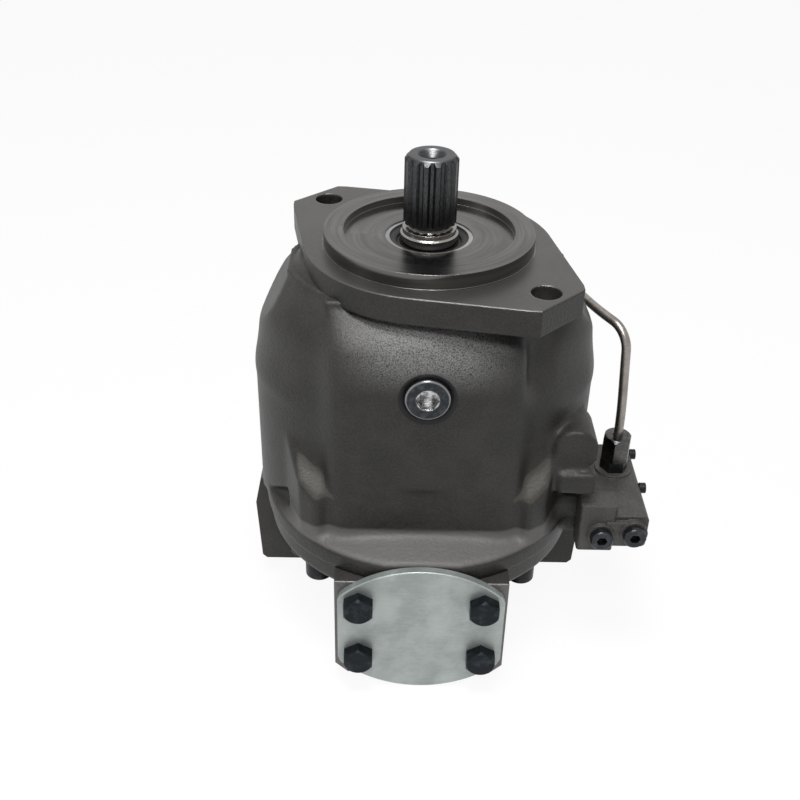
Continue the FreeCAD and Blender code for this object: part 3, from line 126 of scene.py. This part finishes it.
class Graph:
    """The node tree of one material."""

    def __init__(self, name):
        self.material = bpy.data.materials.new(name)
        self.start(self.material, "ShaderNodeOutputMaterial")

    def start(self, owner, output):
        owner.use_nodes = True
        self.tree = owner.node_tree
        self.tree.nodes.clear()
        self.output = self.tree.nodes.new(output)

    def node(self, kind, settings, *values, out=0, **named):
        """Adds a node: its settings first, then values or links for its sockets in order or by name."""
        made = self.tree.nodes.new(kind)
        for key, value in settings.items():
            setattr(made, key, value)
        pairs = list(zip([s for s in made.inputs if s.enabled], values))
        pairs += [(made.inputs[key.replace("_", " ")], value) for key, value in named.items()]
        for socket, value in pairs:
            if value is None:
                continue
            elif isinstance(value, Shade):
                self.tree.links.new(value.socket, socket)
            elif socket.type == "RGBA" and len(value) == 3:
                socket.default_value = (*value, 1.0)
            else:
                socket.default_value = value
        outputs = [s for s in made.outputs if s.enabled]
        return Shade(self, outputs[out] if isinstance(out, int) else made.outputs[out])

    def place(self):
        return self.node("ShaderNodeTexCoord", {}, out="Object")

    def axes(self):
        """The three Object coordinates, in millimetres."""
        point = self.place()
        return [self.node("ShaderNodeSeparateXYZ", {}, point, out=i) * 1000.0 for i in range(3)]

    def noise(self, per_metre, detail, rough, stretch=None):
        """Noise on the Object coordinates, finer along the axes whose stretch is over 1."""
        point = self.place()
        if stretch:
            point = self.node("ShaderNodeMapping", {}, point, Scale=stretch)
        return self.node("ShaderNodeTexNoise", {}, Vector=point, Scale=per_metre, Detail=detail,
                         Roughness=rough)

    def mix(self, share, first, second):
        return self.node("ShaderNodeMix", {"data_type": "RGBA"}, share, first, second)

    def blend(self, share, first, second):
        """Plain number between first and second."""
        return self.node("ShaderNodeMapRange", {}, share, 0.0, 1.0, first, second)

    def bump(self, height, depth, strength=1.0, soft=None):
        return self.node("ShaderNodeBump", {}, Strength=strength, Distance=depth, Height=height,
                         Normal=soft)

    def soft_edges(self, radius):
        return self.node("ShaderNodeBevel", {"samples": 6}, Radius=radius)

    def polar_streaks(self, x, y, z):
        """Noise on (angle, radius, height), drawn out along the turn."""
        angle = self.node("ShaderNodeMath", {"operation": "ARCTAN2"}, y, x)
        radius = (x * x + y * y) ** 0.5
        point = self.node("ShaderNodeCombineXYZ", {}, angle * 0.8, radius * 0.25, z * 0.25)
        return self.node("ShaderNodeTexNoise", {}, Vector=point, Scale=1.3, Detail=3.0,
                         Roughness=0.5)

    def surface_of(self, shader):
        self.tree.links.new(shader.socket, self.output.inputs["Surface"])
        return self.material

    def surface(self, **sockets):
        return self.surface_of(self.node("ShaderNodeBsdfPrincipled", {}, **sockets))


class WorldGraph(Graph):
    """The node tree of the world round the scene."""

    def __init__(self, name):
        self.world = bpy.data.worlds.new(name)
        self.start(self.world, "ShaderNodeOutputWorld")


def grey(level, warm=0.0):
    """A linear colour from a grey level of 0 to 255 as a screen shows it, with a warm or cold cast."""
    def linear(value):
        value = min(max(value / 255.0, 0.0), 1.0)
        return value / 12.92 if value < 0.04045 else ((value + 0.055) / 1.055) ** 2.4
    return (linear(level + warm), linear(level), linear(level - warm))


# Finishes. Places on the object are in millimetres.

FACET_AIM = (0.079, -0.715, 0.694)
FACET_POINT = (66.0, -79.0, -137.5)
SPIGOT_EDGE = 64.4
BARE_ABOVE = -0.35
PORT_FACE_Y = 102.2
JOURNAL_TOP_Z = 13.0
SHAFT_END_Z = 55.0
PLUG_SOCKET = 7.2
PLUG_RIM = 11.9
RECESS_SHADE_RADIUS = 17.6
FACET_GREEN = (0.083, 0.08, 0.066)
ZINC_DARK = (0.27, 0.305, 0.295)
ZINC_LIGHT = (0.45, 0.485, 0.47)
BRONZE_DARK = (0.42, 0.25, 0.09)
BRONZE_LIGHT = (0.62, 0.4, 0.17)


def cast_surface(graph, dark, light):
    """Painted casting: fine lumps and pits, and larger stains."""
    fine = graph.noise(900.0, 4.0, 0.65)
    coarse = graph.noise(45.0, 3.0, 0.5)
    pits = graph.noise(420.0, 2.0, 0.5)
    colour = graph.mix(fine.ramp(0.35, 0.7) * 0.6 + coarse.ramp(0.35, 0.75) * 0.4, dark, light)
    height = fine * 0.45 + pits * 0.55
    rough = graph.blend(coarse, 0.38, 0.52)
    return colour, height, rough


def turned_rings(graph, x, y, step=0.55):
    """Fine rings round the shaft axis from the lathe, as a wave of the distance from it."""
    radius = (x * x + y * y) ** 0.5
    wave = graph.node("ShaderNodeMath", {"operation": "SINE"}, radius * (2 * math.pi / step))
    return radius, wave * 0.5 + 0.5


def milled_facet(x, y, z):
    """1 close to the plane of the cut that slopes the tops of the two screw columns."""
    side = x.absolute()
    off = ((side - FACET_POINT[0]) * -FACET_AIM[0] + (y - FACET_POINT[1]) * FACET_AIM[1]
           + (z - FACET_POINT[2]) * FACET_AIM[2])
    near = off.absolute().ramp(1.5, 0.9)
    across = side.ramp(54.0, 56.5) * side.ramp(79.0, 76.5)
    return near * across * z.ramp(-114.0, -117.0) * z.ramp(-146.0, -143.0) * y.ramp(-54.0, -59.0)


def painted_shoulder_highlight(graph, x, y, z):
    """A speckled painted highlight over the hump, from under the flange down to the drain plug."""
    speck = graph.noise(1500.0, 2.0, 0.6)
    place = x.absolute().ramp(62.0, 14.0) * y.ramp(-50.0, -62.0)
    return place * z.ramp(-62.0, -36.0) * z.ramp(-14.0, -22.0) * speck.ramp(0.34, 0.58)


def painted_rim_light(radius, y, z):
    """1 on the front of the shallow cone on top of the bottom rim, where a painted band of light goes.
    """
    level = z.ramp(-170.0, -168.0) * z.ramp(-157.0, -160.0)
    return radius.ramp(72.0, 88.0) * level * y.ramp(-40.0, -70.0)


def from_plug(x, z):
    """Distance from the axis of the drain plugs."""
    return (x * x + (z - DRAIN_HEIGHT) ** 2.0) ** 0.5


def housing_paint():
    """Cast skin below, a ground flange face above it, and the spigot turned bright. The shoulder and the
    front of the rim carry painted highlights, and the recess round the drain plugs carries painted
    shade.
    """
    graph = Graph("cast_housing_with_machined_faces")
    x, y, z = graph.axes()
    colour, height, rough = cast_surface(graph, grey(26, 1), grey(50, 2))
    radius, rings = turned_rings(graph, x, y)
    # painted highlight: the shoulder is lightened with specks where light catches it
    colour = graph.mix(painted_shoulder_highlight(graph, x, y, z) * 0.75, colour, grey(128, 0.5))
    # painted light: the front of the rim's cone is lightened where light falls on it
    colour = graph.mix(painted_rim_light(radius, y, z) * 0.6, colour, grey(104, 2))
    colour = graph.mix(milled_facet(x, y, z) * 0.4, colour, FACET_GREEN)
    # painted shade: a near-black ring in the recess round each drain plug
    recess_shade = from_plug(x, z).ramp(RECESS_SHADE_RADIUS, RECESS_SHADE_RADIUS - 0.8) * y.absolute().ramp(70.0, 73.0)
    colour = graph.mix(recess_shade, colour, grey(14))
    bare = z.ramp(BARE_ABOVE, BARE_ABOVE + 0.2)
    spigot = radius.ramp(SPIGOT_EDGE + 0.2, SPIGOT_EDGE - 0.2) * z.ramp(-0.5, -0.2)
    scratches = graph.noise(260.0, 4.0, 0.6, (1.0, 14.0, 1.0))
    clouds = graph.noise(22.0, 3.0, 0.5)
    ground = graph.mix(scratches.ramp(0.3, 0.75) * 0.5 + clouds * 0.5, grey(78, 2), grey(112, 2.5))
    skin = graph.node("ShaderNodeBsdfPrincipled", {}, Base_Color=graph.mix(bare, colour, ground),
                      Metallic=bare * 0.9, Roughness=graph.blend(bare, rough, 0.36),
                      Specular_IOR_Level=0.34,
                      Normal=graph.bump(height * (1 - bare), 0.0006, 0.8, graph.soft_edges(0.0022)))
    streaks = graph.polar_streaks(x, y, z)
    bright = graph.mix(streaks.ramp(0.3, 0.7), grey(98, 1), grey(120, 2.5))
    turned = graph.node("ShaderNodeBsdfPrincipled", {}, Base_Color=bright, Metallic=1.0,
                        Roughness=graph.blend(streaks, 0.12, 0.26), Anisotropic=0.85,
                        Normal=graph.bump(rings, 0.00001, 0.2, graph.soft_edges(0.0006)))
    return graph.surface_of(graph.node("ShaderNodeMixShader", {}, spigot, skin, turned))


def cover_paint():
    """Cast skin, with the two port faces milled."""
    graph = Graph("cast_cover_with_machined_port_face")
    y = graph.axes()[1]
    colour, height, rough = cast_surface(graph, grey(36, 1), grey(56, 2))
    port_face = y.absolute().ramp(PORT_FACE_Y, PORT_FACE_Y + 0.3)
    mill = graph.noise(300.0, 4.0, 0.6, (1.0, 1.0, 12.0))
    bare = graph.mix(mill.ramp(0.3, 0.7), grey(88, 2), grey(118, 2))
    final = graph.mix(port_face, colour, bare)
    cast = graph.bump(height * (1 - port_face), 0.0006, 0.75, graph.soft_edges(0.0016))
    return graph.surface(Base_Color=final, Metallic=port_face * 0.9, Specular_IOR_Level=0.34,
                         Roughness=graph.blend(port_face, rough, 0.4), Normal=cast)


def valve_paint():
    graph = Graph("valve_casting")
    colour, height, rough = cast_surface(graph, grey(48, 1.5), grey(76, 2))
    return graph.surface(Base_Color=colour, Roughness=rough, Specular_IOR_Level=0.4,
                         Normal=graph.bump(height, 0.0004, 0.7, graph.soft_edges(0.0008)))


def steel(name, dark, light, rough_low, rough_high, grain=350.0, stretch=(1.0, 1.0, 8.0)):
    """Machined steel: brushed grain that lightens the colour and varies the gloss."""
    graph = Graph(name)
    brushed = graph.noise(grain, 4.0, 0.6, stretch)
    stains = graph.noise(60.0, 3.0, 0.6)
    share = (brushed * 0.6 + stains * 0.4).ramp(0.3, 0.7)
    return graph.surface(Base_Color=graph.mix(share, dark, light), Metallic=1.0,
                         Roughness=graph.blend(stains, rough_low, rough_high),
                         Normal=graph.bump(brushed, 0.00003, 0.5, graph.soft_edges(0.0003)))


def shaft_steel():
    """Hardened spline, dark and oiled, over a ground seal journal and collar."""
    graph = Graph("hardened_spline_and_ground_journal")
    z = graph.axes()[2]
    grain = graph.noise(420.0, 4.0, 0.6, (9.0, 9.0, 1.0))
    journal = z.ramp(JOURNAL_TOP_Z, JOURNAL_TOP_Z - 0.6)
    end_face = z.ramp(SHAFT_END_Z - 0.4, SHAFT_END_Z)
    dark = graph.mix(grain.ramp(0.3, 0.7), grey(46, -1), grey(86, -1))
    dark = graph.mix(end_face, dark, grey(92))
    colour = graph.mix(journal, dark, graph.mix(grain, grey(120, 3), grey(180, 5)))
    return graph.surface(Base_Color=colour, Metallic=1.0, Anisotropic=0.5,
                         Roughness=graph.blend(journal, 0.34, 0.2),
                         Normal=graph.bump(grain, 0.00003, 0.5, graph.soft_edges(0.0003)))


def plug_steel():
    """Blackened plug, with painted glints inside the hexagon socket and a painted highlight round the
    rim.
    """
    graph = Graph("blackened_drain_plug")
    x, _, z = graph.axes()
    reach = from_plug(x, z)
    rub = graph.noise(240.0, 4.0, 0.65)
    socket = reach.ramp(PLUG_SOCKET, PLUG_SOCKET - 0.6)
    rim = reach.ramp(PLUG_RIM, PLUG_RIM + 0.7)
    colour = graph.mix(rub.ramp(0.4, 0.7), grey(52, -3), grey(78, -3))
    # painted highlight round the rim of the plug's head
    colour = graph.mix(rim * 0.7, colour, grey(150, -2))
    # painted glints on the faces inside the hexagon socket
    colour = graph.mix(socket, colour, graph.mix(rub.ramp(0.4, 0.6), grey(110), grey(205)))
    return graph.surface(Base_Color=colour, Metallic=0.95, Roughness=graph.blend(rub, 0.16, 0.34),
                         Normal=graph.bump(rub, 0.00008, 0.6, graph.soft_edges(0.0005)))


def zinc_plate():
    """Dull plated sheet: blotches, fine specks and faint drawn lines."""
    graph = Graph("dull_zinc_plate")
    blotch = graph.noise(38.0, 5.0, 0.6)
    speck = graph.noise(700.0, 3.0, 0.7)
    drawn = graph.noise(160.0, 4.0, 0.6, (0.6, 1.0, 7.0))
    share = blotch.ramp(0.35, 0.68) * 0.65 + speck * 0.2 + drawn.ramp(0.3, 0.7) * 0.15
    height = speck * 0.5 + drawn * 0.5
    return graph.surface(Base_Color=graph.mix(share, ZINC_DARK, ZINC_LIGHT), Metallic=0.75,
                         Roughness=graph.blend(blotch, 0.38, 0.55),
                         Normal=graph.bump(height, 0.00008, 0.4, graph.soft_edges(0.0005)))


def oxide(name, level, cast, rough):
    """Blackened steel: near black, oily, with paler rubbed spots."""
    graph = Graph(name)
    rub = graph.noise(180.0, 4.0, 0.65)
    fine = graph.noise(1200.0, 2.0, 0.5)
    share = rub.ramp(0.45, 0.75) * 0.7 + fine * 0.2
    colour = graph.mix(share, grey(level, cast), grey(level + 34, cast))
    return graph.surface(Base_Color=colour, Metallic=0.85,
                         Roughness=graph.blend(rub, rough, rough + 0.16),
                         Normal=graph.bump(fine, 0.00004, 0.4, graph.soft_edges(0.0006)))


def rubber():
    graph = Graph("seal_rubber")
    fine = graph.noise(900.0, 3.0, 0.6)
    return graph.surface(Base_Color=graph.mix(fine, grey(20), grey(34)),
                         Roughness=graph.blend(fine, 0.5, 0.7), Normal=graph.bump(fine, 0.00005, 0.4))


def bronze():
    return steel("bearing_bronze", BRONZE_DARK, BRONZE_LIGHT, 0.22, 0.36, 500.0, (8.0, 8.0, 1.0))


def paint_nodes():
    finishes = {
        housing_paint(): ["pump_housing"],
        cover_paint(): ["rear_cover"],
        valve_paint(): ["valve_body"],
        zinc_plate(): ["suction_cover", "pressure_cover"],
        oxide("port_bolt_oxide", 28, -4, 0.3): ["suction_cover_bolts", "pressure_cover_bolts"],
        plug_steel(): ["drain_plugs"],
        oxide("adjuster_oxide", 50, -3, 0.22): ["pressure_adjuster", "flow_adjuster"],
        oxide("screw_oxide", 34, -1, 0.34): ["cover_screws", "valve_screws", "tube_fittings"],
        shaft_steel(): ["drive_shaft"],
        steel("nut_steel", grey(66, 0), grey(120, 2), 0.24, 0.4): ["tube_nuts"],
        steel("tube_steel", grey(120, 4), grey(160, 6), 0.3, 0.45): ["control_tube"],
        rubber(): ["cover_seal", "shaft_seal", "port_seals"],
        bronze(): ["valve_plate", "cradle_shells"] + ["slipper_%d" % (i + 1) for i in range(9)],
    }
    plain = steel("ground_steel", grey(140), grey(190), 0.2, 0.34, 500.0, (8.0, 8.0, 1.0))
    done = set()
    for material, names in finishes.items():
        for name in names:
            dress(nodes[name], material)
            done.add(name)
    for name, obj in nodes.items():
        if name not in done:
            dress(obj, plain)


def dress(obj, material):
    obj.data.materials.clear()
    obj.data.materials.append(material)
    for face in obj.data.polygons:
        face.material_index = 0


# The casting, with the soft corners that a sand mould leaves

FLANGE_CUT_Z = -0.0162
NECK_CUT_Z = -0.0166
NECK_TONGUE = 0.004
CAST_VOXEL = 0.00192
SKIN_PASSES = 4
CAVITY_OVAL = (101.0, 73.5)
BEARING_CLEAR = 52.0
SHARP_ANGLE = math.radians(28.0)
HUMP_PASSES = 90


def housing_half(name, level, above):
    """The housing's mesh cut level at one height. A flat face closes the side that is kept."""
    work = bmesh.new()
    work.from_mesh(nodes["pump_housing"].data)
    bmesh.ops.remove_doubles(work, verts=work.verts, dist=1e-6)
    every = work.verts[:] + work.edges[:] + work.faces[:]
    bmesh.ops.bisect_plane(work, geom=every, plane_co=(0, 0, level), plane_no=(0, 0, 1),
                           clear_inner=above, clear_outer=not above)
    open_edges = [edge for edge in work.edges if edge.is_boundary]
    if not above:
        grown = bmesh.ops.extrude_edge_only(work, edges=open_edges)["geom"]
        risen = [item for item in grown if isinstance(item, bmesh.types.BMVert)]
        bmesh.ops.translate(work, verts=risen, vec=(0, 0, NECK_TONGUE))
        open_edges = [edge for edge in work.edges if edge.is_boundary]
    bmesh.ops.triangle_fill(work, use_beauty=True, edges=open_edges,
                            normal=(0, 0, -1 if above else 1))
    bmesh.ops.recalc_face_normals(work, faces=work.faces)
    mesh = bpy.data.meshes.new(name)
    work.to_mesh(mesh)
    work.free()
    if "custom_normal" in mesh.attributes:
        mesh.attributes.remove(mesh.attributes["custom_normal"])
    return mesh


def even_mesh(mesh, voxel):
    """The same solid with its surface divided evenly."""
    rough = bpy.data.objects.new("uneven", mesh)
    scene.collection.objects.link(rough)
    remesh = rough.modifiers.new("even", "REMESH")
    remesh.mode = "VOXEL"
    remesh.voxel_size = voxel
    ready = rough.evaluated_get(bpy.context.evaluated_depsgraph_get())
    shape = bpy.data.meshes.new_from_object(ready)
    bpy.data.objects.remove(rough)
    return shape


def relax(points, edges, weight, passes):
    """Each pass moves a point towards the mean of its neighbours by half its weight of the way."""
    count = len(points)
    near = np.concatenate((edges[:, 0], edges[:, 1]))
    far = np.concatenate((edges[:, 1], edges[:, 0]))
    share = (0.5 * weight / np.bincount(near, minlength=count))[:, None]
    for _ in range(passes):
        total = np.stack([np.bincount(near, points[far, axis], count) for axis in range(3)], axis=1)
        points = points + share * total - 0.5 * weight[:, None] * points
    return points


def step(values, low, high):
    """0 at low, 1 at high, smooth between."""
    share = np.clip((values - low) / (high - low), 0.0, 1.0)
    return share * share * (3.0 - 2.0 * share)


def skin_weights(points):
    """How much each point may soften: over the whole cast skin, and on the hump over the drain plug.

    The cast skin is what lies outside an oval a little wider than the cavity, or above the cavity
    outside a circle round the bearing. The parting face, the plugs' seats and the valve's face stay
    as they were machined.
    """
    x, y, z = (points * 1000.0).T
    oval = np.hypot(x / CAVITY_OVAL[0], y / CAVITY_OVAL[1])
    outside = np.where(z > -40.0, np.hypot(x, y) > BEARING_CLEAR, oval > 0.97).astype(float)
    foot = step(z, -179.4, -176.0) * step(-z, 17.0, 20.0)
    seat = step(np.hypot(x, z - DRAIN_HEIGHT), 18.5, 24.0)
    seat = np.where(np.abs(y) > 60.0, seat, 1.0)
    valve = 1.0 - step(x, 93.0, 97.0) * step(-z, 84.0, 90.0)
    skin = outside * foot * seat * valve
    hump = step(-y, 38.0, 58.0) * step(z, -128.0, -96.0) * step(-np.abs(x), -86.0, -62.0)
    return skin, skin * hump


def soft_casting():
    """Replaces the housing by a crisp flange plate and a body whose corners are softened."""
    flange_mesh = housing_half("flange_plate", FLANGE_CUT_Z, True)
    flange_mesh.polygons.foreach_set("use_smooth", np.ones(len(flange_mesh.polygons), dtype=bool))
    flange_mesh.set_sharp_from_angle(angle=SHARP_ANGLE)
    flange = bpy.data.objects.new("mounting_flange_plate", flange_mesh)

    body_mesh = even_mesh(housing_half("cast_body", NECK_CUT_Z, False), CAST_VOXEL)
    points = np.empty(len(body_mesh.vertices) * 3)
    body_mesh.vertices.foreach_get("co", points)
    points = points.reshape(-1, 3)
    edges = np.empty(len(body_mesh.edges) * 2, dtype=np.int32)
    body_mesh.edges.foreach_get("vertices", edges)
    edges = edges.reshape(-1, 2)
    skin, hump = skin_weights(points)
    points = relax(points, edges, hump, HUMP_PASSES)
    points = relax(points, edges, skin, SKIN_PASSES)
    body_mesh.vertices.foreach_set("co", points.ravel())
    body_mesh.polygons.foreach_set("use_smooth", np.ones(len(body_mesh.polygons), dtype=bool))
    body_mesh.update()
    body = bpy.data.objects.new("cast_body_skin", body_mesh)

    for piece in (flange, body):
        piece.data.materials.clear()
        piece.data.materials.append(nodes["pump_housing"].data.materials[0])
        scene.collection.objects.link(piece)
        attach(piece, "casing")
        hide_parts("pump_housing")


# The bias spring, as a copy of its own attached to the casing


def bias_coil():
    mesh = nodes["bias_spring"].data.copy()
    coil = bpy.data.objects.new("bias_coil", mesh)
    scene.collection.objects.link(coil)
    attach(coil, "casing")
    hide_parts("bias_spring")
    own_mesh(coil)


# Floor, backdrop and light

FLOOR_GAP = 0.0005
FLOOR_HALF = 12.0
FLOOR_GLOW = 0.93
WORLD_LIGHT = 0.26


def seen_directly(graph):
    """1 for rays from the camera, and for those that gloss or glass sends on."""
    rays = [graph.node("ShaderNodeLightPath", {}, out=name)
            for name in ("Is Camera Ray", "Is Glossy Ray", "Is Transmission Ray")]
    return rays[0].most(rays[1]).most(rays[2])


def make_floor():
    """A pale floor under the object, its shade kept, that camera and gloss see as nearly white."""
    graph = Graph("pale_floor")
    plain = graph.node("ShaderNodeBsdfDiffuse", {}, Color=(0.9, 0.9, 0.9))
    glow = graph.node("ShaderNodeEmission", {}, Color=(1.0, 1.0, 1.0), Strength=1.0)
    both = graph.node("ShaderNodeMixShader", {}, seen_directly(graph) * FLOOR_GLOW, plain, glow)
    graph.surface_of(both)
    half = FLOOR_HALF
    low = cad_low[2] - FLOOR_GAP
    mesh = bpy.data.meshes.new("floor")
    corners = [(-half, -half, low), (half, -half, low), (half, half, low), (-half, half, low)]
    mesh.from_pydata(corners, [], [(0, 1, 2, 3)])
    floor = bpy.data.objects.new("floor", mesh)
    floor.data.materials.append(graph.material)
    scene.collection.objects.link(floor)


def make_world():
    """A pale surround that lights the object only a little."""
    graph = WorldGraph("studio")
    strength = graph.blend(seen_directly(graph), WORLD_LIGHT, 1.0)
    back = graph.node("ShaderNodeBackground", {}, Color=(0.8, 0.8, 0.8), Strength=strength)
    graph.tree.links.new(back.socket, graph.output.inputs["Surface"])
    scene.world = graph.world


def lamp(name, place, target, size, power):
    data = bpy.data.lights.new(name, "AREA")
    data.shape = "RECTANGLE"
    data.size, data.size_y = size
    data.energy = power
    obj = bpy.data.objects.new(name, data)
    aim = Vector(target) - Vector(place)
    obj.matrix_world = Matrix.Translation(place) @ aim.to_track_quat("-Z", "Y").to_matrix().to_4x4()
    scene.collection.objects.link(obj)


def make_lights():
    lamp("overhead", (-0.08, -0.3, 1.2), (0.0, 0.0, -0.08), (0.5, 0.4), 17.0)
    lamp("front_high", (-0.08, -0.85, 0.92), (0.0, -0.06, -0.05), (0.32, 0.26), 6.0)
    lamp("left_side", (-1.2, -0.3, 0.5), (0.0, 0.0, -0.12), (0.4, 0.8), 1.0)


make_camera()
paint_nodes()
soft_casting()
bias_coil()
make_floor()
make_world()
make_lights()
scene.view_settings.view_transform = "Standard"
